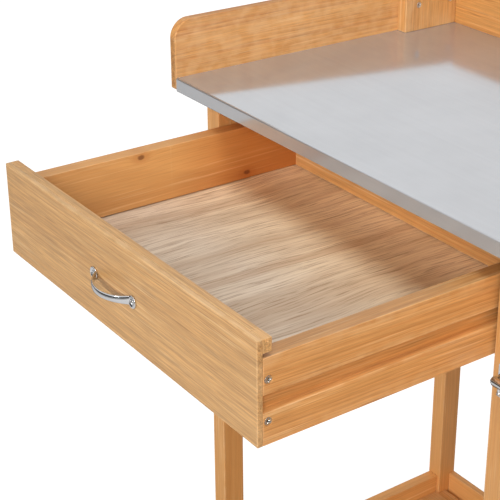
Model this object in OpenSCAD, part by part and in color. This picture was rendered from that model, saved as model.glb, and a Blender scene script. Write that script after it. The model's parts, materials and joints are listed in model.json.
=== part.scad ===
// Potting bench: a timber frame under a folded metal worktop, with a drawer
// on the left that stands open, a cupboard on the right, a slatted shelf
// below, and a raised shelf on two uprights. Millimetres, Z up, X to the
// user's right, Y to the back. The origin is on the floor, under the middle
// of the bench as it stands with its drawer open.

/* [Overall] */
// Width over the side boards
overall_w = 1080; // [1000:10:1200]
// Height of the metal working surface
worktop_h = 850; // [800:10:900]
// Height of the raised shelf's upper face
overall_h = 1200; // [1120:10:1300]
// Depth from the front of the legs to the back
frame_d = 448; // [420:2:480]

/* [Legs and rails] */
// Width of a leg, left to right
leg_w = 26; // [24:1:34]
// Depth of a leg, front to back
leg_d = 32; // [28:1:40]
// Width of the middle post
post_w = 30; // [28:1:36]
// Thickness of the side rails
side_rail_t = 18; // [16:1:20]
// Thickness of the front and back rails
cross_rail_t = 11; // [10:1:14]
// Height of the top rails
top_rail_h = 90; // [90:2:100]
// Height of the bottom rails
low_rail_h = 60; // [56:1:70]
// Height of the bottom rails' upper edge above the floor
low_rail_top = 99; // [90:1:120]

/* [Worktop] */
// Distance of the metal top's side edges outside the legs
top_overhang = 38; // [30:1:44]
// Distance of the metal lip in front of the legs
lip_overhang = 21; // [16:1:26]
// Height of the folded lip
lip_h = 18; // [16:1:24]
// Thickness of the sheet metal
sheet_t = 1; // [0.8:0.1:1.2]
// Outer radius of the lip's bend
bend_r = 2; // [1.5:0.5:3]
// Thickness of the boards under the metal
core_t = 15; // [12:1:18]
// Height of the boards that stand round the worktop
rim_h = 90; // [80:2:110]
// Thickness of the side boards
side_board_t = 12.5; // [10:0.5:15]
// Thickness of the back board
back_board_t = 12; // [10:1:14]
// Radius of the side boards' front corners
rim_r = 25; // [10:1:40]

/* [Raised shelf] */
// Depth of an upright, front to back
upright_d = 93; // [80:1:100]
// Thickness of an upright
upright_t = 18; // [15:1:20]
// Thickness of the raised shelf's boards
raised_t = 15; // [12:1:18]
// Height of the hook rail
hook_rail_h = 60; // [50:1:80]

/* [Drawer] */
// Width of the drawer
drawer_w = 500; // [480:5:520]
// Height of the drawer's front panel
drawer_h = 111; // [105:1:120]
// How far the drawer stands open
drawer_open = 290; // [240:10:300]
// Length of the drawer's sides behind the front panel
drawer_side_l = 400; // [395:1:405]
// Thickness of the drawer's sides
drawer_side_t = 19; // [18:0.5:20]
// Thickness of the front panel
panel_t = 6.3; // [6:0.1:8]
// Height of the runner groove in each drawer side
groove_h = 19.5; // [18:0.5:21]
// Depth of the runner groove
groove_depth = 9; // [8:0.5:10]

/* [Door and bolt] */
// Thickness of the door
door_t = 18; // [16:1:20]
// Width of the door's stiles and rails
stile_w = 55; // [45:1:65]
// How far the bolt travels
bolt_throw = 9; // [6:0.5:9]

/* [Shelf] */
// Number of boards in the bottom shelf
slat_count = 5; // [4:1:6]
// Gap between the boards of the bottom shelf
slat_gap = 6; // [4:1:10]

/* [Hidden] */

// Colours
fir = "#c98f55";
fir_pale = "#d2a26c";
fir_light = "#d89a55";
beech = "#b9a184";
zinc = "#cfcfd1";
chrome = "#d8dade";
steel = "#a9a9a9";

// Small sizes that every part shares
gap = 3;               // around the drawer and the door
round_fn = 64;         // facets asked for on round parts
runner_clear = 1;      // between a runner and the groove it fills
eps = 0.01;            // overreach of a cut beyond the face it opens

// Handle
handle_span = 79;      // between the screw centres
handle_out = 20;       // outermost point from the wood
strap_span = 70;       // between the ends of the bowed strap
strap_w = 8;
strap_t = 3;
handle_foot_r = 7.2;
handle_foot_t = 2;

// Left to right
half_w = overall_w / 2;
top_half = half_w - side_board_t;
leg_out = top_half - top_overhang;
leg_in = leg_out - leg_w;
drawer_x0 = -leg_in + gap;
drawer_x1 = drawer_x0 + drawer_w;
post_x0 = drawer_x1 + gap;
post_x1 = post_x0 + post_w;
post_mid = (post_x0 + post_x1) / 2;
door_x0 = post_x1 + gap;
door_x1 = leg_in - gap;
rail_inset = 2;
rail_in = leg_out - rail_inset - side_rail_t;

// Front to back
front_y = (drawer_open + handle_out - frame_d) / 2;
back_y = front_y + frame_d;
rear_leg_y = back_y - leg_d;
lip_y = front_y - lip_overhang;
back_board_y = back_y - back_board_t;
drawer_y = front_y - drawer_open;
drawer_back_y = drawer_y + panel_t + drawer_side_l;

// Floor to top
core_z = worktop_h - sheet_t - core_t;
batten_h = 12;
batten_z = core_z - batten_h;
drawer_top = worktop_h - 30;
drawer_z = drawer_top - drawer_h;
door_z0 = low_rail_top + gap;
door_z1 = batten_z - 5;
low_rail_z = low_rail_top - low_rail_h;
shelf_top = low_rail_top - 30;
slat_t = 12;
top_rail_z = core_z - top_rail_h;
rim_z = core_z;

// Drawer
top_rail_t = 9.7;              // both boards behind the front panel
side_drop = 19.5;              // the sides' upper edge below the panel's
block_h = 17;
side_top = drawer_top - side_drop;
groove_z = drawer_top - 77;
bottom_t = 4;
bottom_z = drawer_z + 16.5;
bottom_reach = 5;              // how far the bottom enters its grooves
back_t = 12;
inner_y = drawer_y + panel_t + top_rail_t;

// Cupboard
cupboard_t = 12;
board_gap = 1;
cupboard_shelf_z = (door_z0 + door_z1) / 2;
cleat = 18;

// Bolt
bolt_z = drawer_top - 134;
bolt_y = front_y - 6.2;
bolt_r = 4.2;
bolt_x0 = post_x0 + 7;
bolt_l = 24.5;
barrel_r = 5.4;
bolt_plate_x = post_x0 + 9.3;
bolt_plate_w = 20.2;
bolt_plate_h = 38;
keeper_w = 12;
plate_t = 1.5;
knob_r = 2;
knob_ball_r = 2.8;
slot_x = bolt_plate_x + 5.4;

// Hinges
hinge_x = door_x1 + gap / 2;
hinge_y = front_y - 3.3;
hinge_r = 3;
hinge_pin_r = 1.5;
hinge_h = 51;
hinge_leaf_w = 22;
hinge_z = [door_z0 + 80, door_z1 - 80 - hinge_h];
knuckle_h = hinge_h / 3;
knuckle_gap = 0.3;

// Screws
screw_head_r = 4.2;
screw_head_h = 3;
screw_r = 2;
small_head_r = 2.8;

// Screw: the head's face is at the origin and the shank points along -Z
module screw(length, head_r = screw_head_r) {
  translate([0, 0, -screw_head_h])
    cylinder(h = screw_head_h, r1 = screw_r, r2 = head_r, $fn = round_fn);
  translate([0, 0, -length])
    cylinder(h = length - screw_head_h + eps, r = screw_r, $fn = round_fn);
}

// A screw whose head faces left, right, front or up
module screw_left(p, length) { translate(p) rotate([0, -90, 0]) screw(length); }
module screw_right(p, length) { translate(p) rotate([0, 90, 0]) screw(length); }
module screw_front(p, length) {
  translate(p) rotate([90, 0, 0]) screw(length, small_head_r);
}

// Several boards side by side along X or Z, with narrow gaps between them
module boards_x(p, size, count, space) {
  w = (size.x - space * (count - 1)) / count;
  for (i = [0 : count - 1])
    translate(p + [i * (w + space), 0, 0]) cube([w, size.y, size.z]);
}
module boards_y(p, size, count, space) {
  w = (size.y - space * (count - 1)) / count;
  for (i = [0 : count - 1])
    translate(p + [0, i * (w + space), 0]) cube([size.x, w, size.z]);
}

// Handle: a bowed flat strap between two round feet. It stands on the plane
// y = 0, runs along X and bulges towards -Y.
module bow_handle() {
  edge = 1;
  rise = handle_out - strap_t;
  inner_r = (pow(strap_span / 2, 2) + pow(rise, 2)) / (2 * rise);
  outer_r = inner_r + strap_t;
  difference() {
    translate([0, inner_r - rise, 0])
      rotate_extrude($fn = 128)
        polygon([[inner_r, -strap_w / 2], [outer_r - edge, -strap_w / 2],
                 [outer_r, edge - strap_w / 2], [outer_r, strap_w / 2 - edge],
                 [outer_r - edge, strap_w / 2], [inner_r, strap_w / 2]]);
    translate([-2 * outer_r, 0, -strap_w])
      cube([4 * outer_r, 4 * outer_r, 2 * strap_w]);
  }
  for (side = [-1, 1])
    translate([side * handle_span / 2, 0, 0]) rotate([90, 0, 0])
      cylinder(h = handle_foot_t, r = handle_foot_r, $fn = round_fn);
}

// Frame ---------------------------------------------------------------

module leg(x, y) {
  color(fir) translate([x, y, 0]) cube([leg_w, leg_d, core_z]);
}
module leg_front_left() { leg(-leg_out, front_y); }
module leg_front_right() { leg(leg_in, front_y); }
module leg_rear_left() { leg(-leg_out, rear_leg_y); }
module leg_rear_right() { leg(leg_in, rear_leg_y); }

// The front post stands on the bottom front rail, the rear one on the shelf
module post_front() {
  color(fir) translate([post_x0, front_y, low_rail_top])
    cube([post_w, leg_d, batten_z - low_rail_top]);
}
module post_rear() {
  color(fir) translate([post_x0, rear_leg_y, shelf_top])
    cube([post_w, leg_d - cross_rail_t, core_z - shelf_top]);
}

// A rail between the front and rear legs
module side_rail(x, z, h, t = side_rail_t, y1 = rear_leg_y) {
  color(fir) translate([x, front_y + leg_d, z]) cube([t, y1 - front_y - leg_d, h]);
}
module top_rail_left() { side_rail(-rail_in - side_rail_t, top_rail_z, top_rail_h); }
module top_rail_middle() { side_rail(post_mid - side_rail_t / 2, top_rail_z, top_rail_h); }
module top_rail_right() { side_rail(rail_in, top_rail_z, top_rail_h); }
module low_rail_left() { side_rail(-rail_in - side_rail_t, low_rail_z, low_rail_h); }
module low_rail_right() { side_rail(rail_in, low_rail_z, low_rail_h); }

// A rail between the left and right legs
module cross_rail(y, z, h) {
  color(fir) translate([-leg_in, y, z]) cube([2 * leg_in, cross_rail_t, h]);
}
module top_rail_back() { cross_rail(back_y - cross_rail_t, core_z - 70, 70); }
module low_rail_back() { cross_rail(back_y - cross_rail_t, low_rail_z, low_rail_h); }
module low_rail_front() { cross_rail(front_y, low_rail_z, low_rail_h); }

// Batten above the drawer and the door, behind the metal lip
module front_batten() {
  color(fir) translate([-leg_in, front_y, batten_z]) cube([2 * leg_in, leg_d, batten_h]);
}

// Runners that the drawer's grooved sides slide on
module runner(x0, x1) {
  color(fir) translate([x0, front_y + leg_d, groove_z + runner_clear])
    cube([x1 - x0, rear_leg_y - front_y - leg_d, groove_h - 2 * runner_clear]);
}
module runner_left() { runner(-rail_in, drawer_x0 + groove_depth - runner_clear); }
module runner_right() {
  runner(drawer_x1 - groove_depth + runner_clear, post_mid - side_rail_t / 2);
}

// Bearers under the bottom shelf
module shelf_bearers() {
  y0 = front_y + cross_rail_t;
  y1 = back_y - cross_rail_t;
  z = shelf_top - slat_t - cleat;
  color(fir) {
    for (x = [-rail_in, rail_in - cleat])
      translate([x, front_y + leg_d, z]) cube([cleat, rear_leg_y - front_y - leg_d, cleat]);
    translate([post_mid - cleat / 2, y0, z]) cube([cleat, y1 - y0, cleat]);
  }
}

// Bottom shelf: boards along X, notched round the legs
module shelf_slats() {
  y0 = front_y + cross_rail_t + slat_gap;
  y1 = back_y - cross_rail_t - slat_gap;
  notch = 0.2;
  color(fir) difference() {
    boards_y([-rail_in, y0, shelf_top - slat_t], [2 * rail_in, y1 - y0, slat_t],
             slat_count, slat_gap);
    for (x = [-leg_out, leg_in], y = [front_y, rear_leg_y])
      translate([x - notch, y - notch, 0])
        cube([leg_w + 2 * notch, leg_d + 2 * notch, worktop_h / 2]);
  }
}

// Worktop -------------------------------------------------------------

// Boards under the metal, clear of its front bend
module worktop_core() {
  y0 = lip_y + bend_r;
  color(fir)
    boards_y([-top_half, y0, core_z], [2 * top_half, back_board_y - y0, core_t], 3, 2);
}

// Points of a quarter circle round c, from angle a0 to a1
function arc(c, r, a0, a1, n = 6) =
  [for (i = [0 : n]) let (a = a0 + (a1 - a0) * i / n) c + r * [cos(a), sin(a)]];

// Folded sheet: flat top, rounded front bend and a hanging lip
module metal_top() {
  y0 = lip_y;
  z1 = worktop_h;
  c = [y0 + bend_r, z1 - bend_r];
  profile = concat(
    [[back_board_y, z1 - sheet_t], [back_board_y, z1]],
    arc(c, bend_r, 90, 180),
    [[y0, z1 - lip_h], [y0 + sheet_t, z1 - lip_h]],
    arc(c, bend_r - sheet_t, 180, 90));
  color(zinc) translate([-top_half, 0, 0])
    rotate([90, 0, 90]) linear_extrude(height = 2 * top_half) polygon(profile);
}

// Side board, drawn in the YZ plane, with one rounded front corner
module side_board(x) {
  y0 = lip_y;
  z1 = rim_z + rim_h;
  profile = concat(
    [[back_y, rim_z], [back_y, z1]],
    arc([y0 + rim_r, z1 - rim_r], rim_r, 90, 180, 12),
    [[y0, rim_z]]);
  color(fir_light) translate([x, 0, 0])
    rotate([90, 0, 90]) linear_extrude(height = side_board_t) polygon(profile);
}
module side_board_left() { side_board(-half_w); }
module side_board_right() { side_board(top_half); }
module back_board() {
  color(fir_light) translate([-top_half, back_board_y, rim_z])
    cube([2 * top_half, back_board_t, rim_h]);
}

// Raised shelf --------------------------------------------------------

module upright(x) {
  color(fir) translate([x, back_board_y - upright_d, worktop_h])
    cube([upright_t, upright_d, overall_h - raised_t - worktop_h]);
}
module upright_left() { upright(-top_half); }
module upright_right() { upright(top_half - upright_t); }

module raised_shelf() {
  overhang = 25;
  y0 = back_board_y - upright_d - overhang;
  color(fir_light)
    boards_y([-half_w, y0, overall_h - raised_t], [overall_w, back_y - y0, raised_t], 2, 6);
}
module hook_rail() {
  color(fir_light) translate([-top_half + upright_t, back_board_y - cross_rail_t,
                              overall_h - raised_t - hook_rail_h])
    cube([2 * (top_half - upright_t), cross_rail_t, hook_rail_h]);
}

// Screw hooks: a shank with a collar, and a half ring that opens upwards
hook_count = 4;
hook_pitch = 220;
hook_r = 9;
hook_wire = 1.6;
hook_shank_r = 2;
hook_reach = 12;
module hooks() {
  face = back_board_y - cross_rail_t;
  z = overall_h - raised_t - hook_rail_h / 2;
  color(steel)
    for (i = [0 : hook_count - 1])
      translate([(i - (hook_count - 1) / 2) * hook_pitch, face, z]) {
        rotate([90, 0, 0]) cylinder(h = hook_reach + hook_shank_r, r = hook_shank_r, $fn = round_fn);
        rotate([90, 0, 0]) cylinder(h = 1.5, r = 5, $fn = round_fn);
        translate([0, -hook_reach - hook_r, 0]) rotate([90, 0, 90]) rotate([0, 0, 160])
          rotate_extrude(angle = 200, $fn = 96)
            translate([hook_r, 0]) circle(r = hook_wire, $fn = round_fn);
      }
}

// Cupboard ------------------------------------------------------------

// Side panels fill the space under the top rails
module cupboard_side(x, z0, y1) {
  y0 = front_y + leg_d;
  color(fir)
    boards_y([x, y0, z0], [cupboard_t, y1 - y0, top_rail_z - z0], 5, board_gap);
}
module cupboard_side_left() {
  cupboard_side(post_mid - cupboard_t / 2, shelf_top, rear_leg_y);
}
module cupboard_side_right() {
  cupboard_side(rail_in + 3, low_rail_top, rear_leg_y);
}
module cupboard_back() {
  color(fir)
    boards_x([post_x0, back_y - cross_rail_t, low_rail_top],
             [leg_in - post_x0, cross_rail_t, core_z - 70 - low_rail_top], 6, board_gap);
}
module cupboard_shelf() {
  x0 = post_mid + cupboard_t / 2;
  y0 = front_y + leg_d;
  color(fir_light)
    boards_y([x0, y0, cupboard_shelf_z], [rail_in + 3 - x0, rear_leg_y - y0, slat_t], 3, 2);
}
module cupboard_cleats() {
  color(fir)
    for (x = [post_mid + cupboard_t / 2, rail_in + 3 - cleat])
      translate([x, front_y + leg_d, cupboard_shelf_z - cleat])
        cube([cleat, rear_leg_y - front_y - leg_d, cleat]);
}

// Drawer --------------------------------------------------------------

module drawer_panel() {
  color(fir_pale) translate([drawer_x0, drawer_y, drawer_z])
    cube([drawer_w, panel_t, drawer_h]);
}

// Rail along the upper edge, and a block at each of its ends
module drawer_top_rail() {
  color(fir_pale) translate([drawer_x0 + drawer_side_t, drawer_y + panel_t, drawer_top - block_h])
    cube([drawer_w - 2 * drawer_side_t, top_rail_t, block_h]);
}
module drawer_corner_blocks() {
  color(fir_pale)
    for (x = [drawer_x0, drawer_x1 - drawer_side_t])
      translate([x, drawer_y + panel_t, drawer_top - block_h])
        cube([drawer_side_t, top_rail_t, block_h]);
}

// Grooves for the drawer's bottom, which lies on their lower faces with a
// small gap above it
module bottom_groove() {
  slack = 1.2;
  reach = bottom_reach + slack / 4;
  translate([drawer_x0 + drawer_side_t - reach, inner_y - reach, bottom_z])
    cube([drawer_w - 2 * drawer_side_t + 2 * reach,
          drawer_back_y - back_t - inner_y + 2 * reach, bottom_t + slack]);
}
module drawer_inner_front() {
  color(fir) difference() {
    translate([drawer_x0 + drawer_side_t, drawer_y + panel_t, drawer_z])
      cube([drawer_w - 2 * drawer_side_t, top_rail_t, drawer_top - block_h - drawer_z]);
    bottom_groove();
  }
}

// Places of the screws through the drawer's sides: distance along Y, height
drawer_screw_places = [
  for (y = [drawer_y + 12.5, drawer_back_y - back_t / 2], z = [-43, -86.5])
    [y, drawer_top + z]];

// A side: a board with the runner groove outside and screw holes
module drawer_side(left) {
  x0 = left ? drawer_x0 : drawer_x1 - drawer_side_t;
  outer = left ? drawer_x0 : drawer_x1;
  color(fir) difference() {
    translate([x0, drawer_y + panel_t, drawer_z])
      cube([drawer_side_t, drawer_side_l, side_top - drawer_z]);
    translate([left ? outer - eps : outer - groove_depth, drawer_y, groove_z])
      cube([groove_depth + eps, drawer_side_l + 2 * panel_t, groove_h]);
    bottom_groove();
    for (p = drawer_screw_places)
      translate([outer, p.x, p.y]) rotate([0, left ? -90 : 90, 0]) {
        screw(drawer_side_t + 1);
        cylinder(h = 1, r = screw_head_r, $fn = round_fn);
      }
  }
}
module drawer_side_left() { drawer_side(true); }
module drawer_side_right() { drawer_side(false); }
module drawer_back() {
  color(fir) difference() {
    translate([drawer_x0 + drawer_side_t, drawer_back_y - back_t, drawer_z])
      cube([drawer_w - 2 * drawer_side_t, back_t, side_top - drawer_z]);
    bottom_groove();
  }
}
module drawer_bottom() {
  color(beech)
    translate([drawer_x0 + drawer_side_t - bottom_reach, inner_y - bottom_reach, bottom_z])
      cube([drawer_w - 2 * drawer_side_t + 2 * bottom_reach,
            drawer_back_y - back_t - inner_y + 2 * bottom_reach, bottom_t]);
}
drawer_handle_x = (drawer_x0 + drawer_x1) / 2 - 8;
drawer_handle_z = drawer_z + drawer_h / 2;
module drawer_handle() {
  color(chrome) translate([drawer_handle_x, drawer_y, drawer_handle_z]) bow_handle();
}
module drawer_screws() {
  color(steel) {
    for (p = drawer_screw_places) {
      screw_left([drawer_x0, p.x, p.y], drawer_side_t + 16);
      screw_right([drawer_x1, p.x, p.y], drawer_side_t + 16);
    }
    for (side = [-1, 1])
      screw_front([drawer_handle_x + side * handle_span / 2,
                   drawer_y - handle_foot_t - proud, drawer_handle_z], 12);
  }
}

// Door ----------------------------------------------------------------

module stile(x) {
  color(fir) translate([x, front_y, door_z0]) cube([stile_w, door_t, door_z1 - door_z0]);
}
module door_stile_left() { stile(door_x0); }
module door_stile_right() { stile(door_x1 - stile_w); }
module door_rail(z) {
  color(fir) translate([door_x0 + stile_w, front_y, z])
    cube([door_x1 - door_x0 - 2 * stile_w, door_t, stile_w]);
}
module door_rail_top() { door_rail(door_z1 - stile_w); }
module door_rail_bottom() { door_rail(door_z0); }
module door_boards() {
  t = 9;
  color(fir_pale)
    boards_x([door_x0 + stile_w, front_y + 5, door_z0 + stile_w],
             [door_x1 - door_x0 - 2 * stile_w, t, door_z1 - door_z0 - 2 * stile_w],
             5, board_gap);
}
door_handle_x = door_x0 + stile_w / 2;
door_handle_z = bolt_z - 110;
module door_handle() {
  color(chrome) translate([door_handle_x, front_y, door_handle_z])
    rotate([0, 90, 0]) bow_handle();
}

// Butt hinge: a leaf on one side of the pin, with its own knuckles and with
// room cut round the other leaf's knuckles
module hinge_leaf(z, side, own, bore_r) {
  room = hinge_r + 0.7;
  difference() {
    union() {
      translate([min(hinge_x, hinge_x + side * hinge_leaf_w), front_y - plate_t,
                 z + knuckle_gap / 2])
        cube([hinge_leaf_w, plate_t, hinge_h - knuckle_gap]);
      for (k = own)
        translate([hinge_x, hinge_y, z + k * knuckle_h + knuckle_gap / 2])
          cylinder(h = knuckle_h - knuckle_gap, r = hinge_r, $fn = round_fn);
    }
    for (k = [0 : 2])
      if (len(search(k, own)) == 0)
        translate([hinge_x - room, hinge_y - room, z + k * knuckle_h - knuckle_gap / 2])
          cube([2 * room, 3 * room, knuckle_h + knuckle_gap]);
    translate([hinge_x, hinge_y, z - 1])
      cylinder(h = hinge_h + 2, r = bore_r, $fn = round_fn);
  }
}
module hinge_leaves_fixed() {
  color(steel) for (z = hinge_z) hinge_leaf(z, 1, [0, 2], hinge_pin_r);
}
module hinge_leaves_door() {
  color(steel) for (z = hinge_z) hinge_leaf(z, -1, [1], hinge_pin_r + 0.05);
}

// Each pin has a cap at both ends, against the fixed leaf's knuckles
module hinge_pins() {
  cap = 1.2;
  length = hinge_h - knuckle_gap;
  color(steel)
    for (z = hinge_z)
      translate([hinge_x, hinge_y, z + knuckle_gap / 2]) {
        translate([0, 0, -cap]) cylinder(h = length + 2 * cap, r = hinge_pin_r, $fn = round_fn);
        for (end = [-cap, length])
          translate([0, 0, end]) cylinder(h = cap, r = hinge_r - 0.4, $fn = round_fn);
      }
}
module hinge_screws(side, length) {
  for (z = hinge_z, k = [0.16, 0.5, 0.84])
    screw_front([hinge_x + side * (hinge_leaf_w - 8), front_y - plate_t - proud,
                 z + k * hinge_h], length);
}

// Bolt ----------------------------------------------------------------

// Plate with a barrel across it, slotted underneath for the knob
module bolt_plate() {
  color(chrome) difference() {
    union() {
      translate([bolt_plate_x, front_y - plate_t, bolt_z - bolt_plate_h / 2])
        cube([bolt_plate_w, plate_t, bolt_plate_h]);
      translate([bolt_plate_x, bolt_y, bolt_z]) rotate([0, 90, 0])
        cylinder(h = bolt_plate_w, r = barrel_r, $fn = round_fn);
    }
    translate([bolt_plate_x - 1, bolt_y, bolt_z]) rotate([0, 90, 0])
      cylinder(h = bolt_plate_w + 2, r = bolt_r + 0.1, $fn = round_fn);
    translate([slot_x, bolt_y - knob_r - 0.3, bolt_z - 2 * barrel_r])
      cube([bolt_throw + 2 * knob_r + 0.6, 2 * knob_r + 0.6, 2 * barrel_r]);
  }
}
module bolt() {
  knob_x = slot_x + knob_r + 0.3;
  color(chrome) {
    translate([bolt_x0, bolt_y, bolt_z]) rotate([0, 90, 0])
      cylinder(h = bolt_l, r = bolt_r, $fn = round_fn);
    translate([knob_x, bolt_y, bolt_z - 10])
      cylinder(h = 10, r = knob_r, $fn = round_fn);
    translate([knob_x, bolt_y, bolt_z - 11]) sphere(r = knob_ball_r, $fn = round_fn);
  }
}
// Keeper on the door: a plate with a square loop that the bolt enters
module bolt_keeper() {
  loop_l = 8;
  wall = 2;
  half = bolt_r + 0.5;
  x = door_x0 + 2;
  color(chrome) difference() {
    union() {
      translate([x, front_y - plate_t, bolt_z - bolt_plate_h / 2])
        cube([keeper_w, plate_t, bolt_plate_h]);
      translate([x, bolt_y - half - wall, bolt_z - half - wall])
        cube([loop_l, front_y - bolt_y + half + wall - plate_t / 2, 2 * (half + wall)]);
    }
    translate([x - 1, bolt_y - half, bolt_z - half])
      cube([keeper_w, front_y - plate_t - bolt_y + half, 2 * half]);
  }
}

// Heights of the screws through the bolt's plate and its keeper
bolt_screw_z = [bolt_z - 14, bolt_z + 14];

// Screws --------------------------------------------------------------

// Heads of front screws stand a little proud of the metal they hold
proud = 0.3;
module frame_screws() {
  upright_screw_z = worktop_h + 36;
  color(steel) {
    for (y = [back_board_y - upright_d + 24, back_board_y - 10]) {
      screw_right([-top_half + upright_t, y, upright_screw_z], 27);
      screw_left([top_half - upright_t, y, upright_screw_z], 27);
    }
    for (y = [lip_y + 60, (lip_y + back_y) / 2, back_y - 60]) {
      screw_left([-half_w, y, core_z + core_t / 2], 40);
      screw_right([half_w, y, core_z + core_t / 2], 40);
    }
    hinge_screws(1, 16);
    for (x = [3, bolt_plate_w - 3], z = bolt_screw_z)
      screw_front([bolt_plate_x + x, front_y - plate_t - proud, z], 14);
  }
}
module door_screws() {
  color(steel) {
    hinge_screws(-1, 14);
    for (z = bolt_screw_z)
      screw_front([door_x0 + 2 + keeper_w / 2, front_y - plate_t - proud, z], 12);
    for (side = [-1, 1])
      screw_front([door_handle_x, front_y - handle_foot_t - proud,
                   door_handle_z + side * handle_span / 2], 14);
  }
}

leg_front_left();
leg_front_right();
leg_rear_left();
leg_rear_right();
post_front();
post_rear();
top_rail_left();
top_rail_middle();
top_rail_right();
top_rail_back();
front_batten();
runner_left();
runner_right();
low_rail_left();
low_rail_right();
low_rail_front();
low_rail_back();
shelf_bearers();
shelf_slats();
worktop_core();
metal_top();
side_board_left();
side_board_right();
back_board();
upright_left();
upright_right();
raised_shelf();
hook_rail();
hooks();
cupboard_side_left();
cupboard_side_right();
cupboard_back();
cupboard_shelf();
cupboard_cleats();
bolt_plate();
bolt();
frame_screws();
drawer_panel();
drawer_top_rail();
drawer_corner_blocks();
drawer_inner_front();
drawer_side_left();
drawer_side_right();
drawer_back();
drawer_bottom();
drawer_handle();
drawer_screws();
door_stile_left();
door_stile_right();
door_rail_top();
door_rail_bottom();
door_boards();
door_handle();
door_screws();
bolt_keeper();
hinge_leaves_fixed();
hinge_leaves_door();
hinge_pins();
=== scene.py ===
import json
import math
import random

import bmesh
import bpy
import numpy as np
from mathutils import Euler, Matrix, Vector


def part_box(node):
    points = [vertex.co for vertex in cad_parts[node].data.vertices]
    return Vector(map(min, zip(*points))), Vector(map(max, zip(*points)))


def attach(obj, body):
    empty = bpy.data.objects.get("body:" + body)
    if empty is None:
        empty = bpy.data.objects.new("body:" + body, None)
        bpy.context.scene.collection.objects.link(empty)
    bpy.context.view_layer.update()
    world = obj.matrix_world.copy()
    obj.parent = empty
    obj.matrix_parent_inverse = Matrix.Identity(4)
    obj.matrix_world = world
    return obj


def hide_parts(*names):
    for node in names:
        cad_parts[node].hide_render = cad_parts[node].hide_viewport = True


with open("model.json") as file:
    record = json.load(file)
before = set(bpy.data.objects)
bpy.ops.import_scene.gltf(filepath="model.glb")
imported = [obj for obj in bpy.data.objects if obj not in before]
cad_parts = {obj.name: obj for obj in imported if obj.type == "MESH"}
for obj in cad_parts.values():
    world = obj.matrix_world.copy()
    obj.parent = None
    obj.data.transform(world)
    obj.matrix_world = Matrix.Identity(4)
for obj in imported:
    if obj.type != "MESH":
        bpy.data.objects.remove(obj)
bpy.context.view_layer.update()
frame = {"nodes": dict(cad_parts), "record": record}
NODES = frame["nodes"]
SLOT = {part["node"]: part["material_slot"] for part in frame["record"]["subparts"]}
BODY = {node: body for body, nodes in frame["record"]["behaviour"]["bodies"].items() for node in nodes}
SCENE = bpy.context.scene
MM = 0.001
TINY = 0.001 * MM
UP = Vector((0, 0, 1))


# Materials ---------------------------------------------------------------

WHITE, BLACK = (1, 1, 1, 1), (0, 0, 0, 1)
PALE_STREAK, PALE_EDGE = (1.0, 0.80, 0.50, 1.0), (1.0, 0.84, 0.58, 1.0)
# tints of the painted shade under the worktop's lip: darker and redder on the wood, and paler and warmer
# on the sheet, as painted bounce light
LIP_SHADE_TINT, LIP_BOUNCE_TINT = (0.82, 0.58, 0.40), (1.27, 1.19, 1.00)
WOOD_ROUGH = 0.45


class Graph:
    """A short way to write shader nodes."""

    def __init__(self, tree):
        self.tree = tree

    def put(self, socket, value):
        if hasattr(value, "is_output"):
            self.tree.links.new(value, socket)
        elif value is not None:
            socket.default_value = value

    def node(self, kind, out=0, **inputs):
        """Adds a node. set_x sets its property x, i0 its first input, and Some_Name an input by name."""
        n = self.tree.nodes.new(kind)
        for key, value in inputs.items():
            if key.startswith("set_"):
                setattr(n, key[4:], value)
        for key, value in inputs.items():
            if not key.startswith("set_"):
                numbered = key[0] == "i" and key[1:].isdigit()
                self.put(n.inputs[int(key[1:]) if numbered else key.replace("_", " ")], value)
        return n.outputs[out]

    def math(self, op, a, b=None, c=None, clamp=False):
        return self.node("ShaderNodeMath", set_operation=op, set_use_clamp=clamp, i0=a, i1=b, i2=c)

    def mul(self, a, b, clamp=False):
        return self.math("MULTIPLY", a, b, clamp=clamp)

    def add(self, a, b):
        return self.math("ADD", a, b)

    def vmath(self, op, a, b=None, out="Vector"):
        return self.node("ShaderNodeVectorMath", out, set_operation=op, i0=a, i1=b)

    def length(self, vec):
        return self.vmath("LENGTH", vec, out="Value")

    def stretch(self, vec, factors):
        return self.vmath("MULTIPLY", vec, factors)

    def offset(self, colour, amounts):
        """A noise colour as a vector of up to half of amounts each way."""
        return self.stretch(self.vmath("SUBTRACT", colour, (0.5, 0.5, 0.5)), amounts)

    def attr(self, name, out="Fac"):
        return self.node("ShaderNodeAttribute", out, set_attribute_name=name)

    def noise(self, vec, scale, detail=2.0, rough=0.5, out=0):
        return self.node("ShaderNodeTexNoise", out, Vector=vec, Scale=scale, Detail=detail,
                         Roughness=rough)

    def figure(self, vec, along, across, detail=2.0, rough=0.5, out=0):
        """Noise with one scale along the grain (x) and another across it."""
        return self.noise(self.stretch(vec, (along, across, across)), 1.0, detail, rough, out)

    def remap(self, value, a, b, c=0.0, d=1.0, smooth=False):
        kind = "SMOOTHSTEP" if smooth else "LINEAR"
        return self.node("ShaderNodeMapRange", set_interpolation_type=kind, i0=value, i1=a, i2=b,
                         i3=c, i4=d)

    def vary(self, noise, low, high):
        """low to high over the middle range of a noise."""
        return self.remap(noise, 0.3, 0.7, low, high)

    def mix(self, factor, a, b):
        n = self.tree.nodes.new("ShaderNodeMix")
        n.data_type = "RGBA"
        n.clamp_factor = True
        self.put(n.inputs[0], factor)
        self.put(n.inputs[6], a)
        self.put(n.inputs[7], b)
        return n.outputs[2]

    def scaled(self, colour, factor):
        """The colour times a factor."""
        if not hasattr(colour, "is_output"):
            colour = colour[:3]
        return self.node("ShaderNodeVectorMath", set_operation="SCALE", i0=colour, Scale=factor)

    def bump(self, height, strength, distance):
        return self.node("ShaderNodeBump", Strength=strength, Distance=distance, Height=height)


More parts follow.
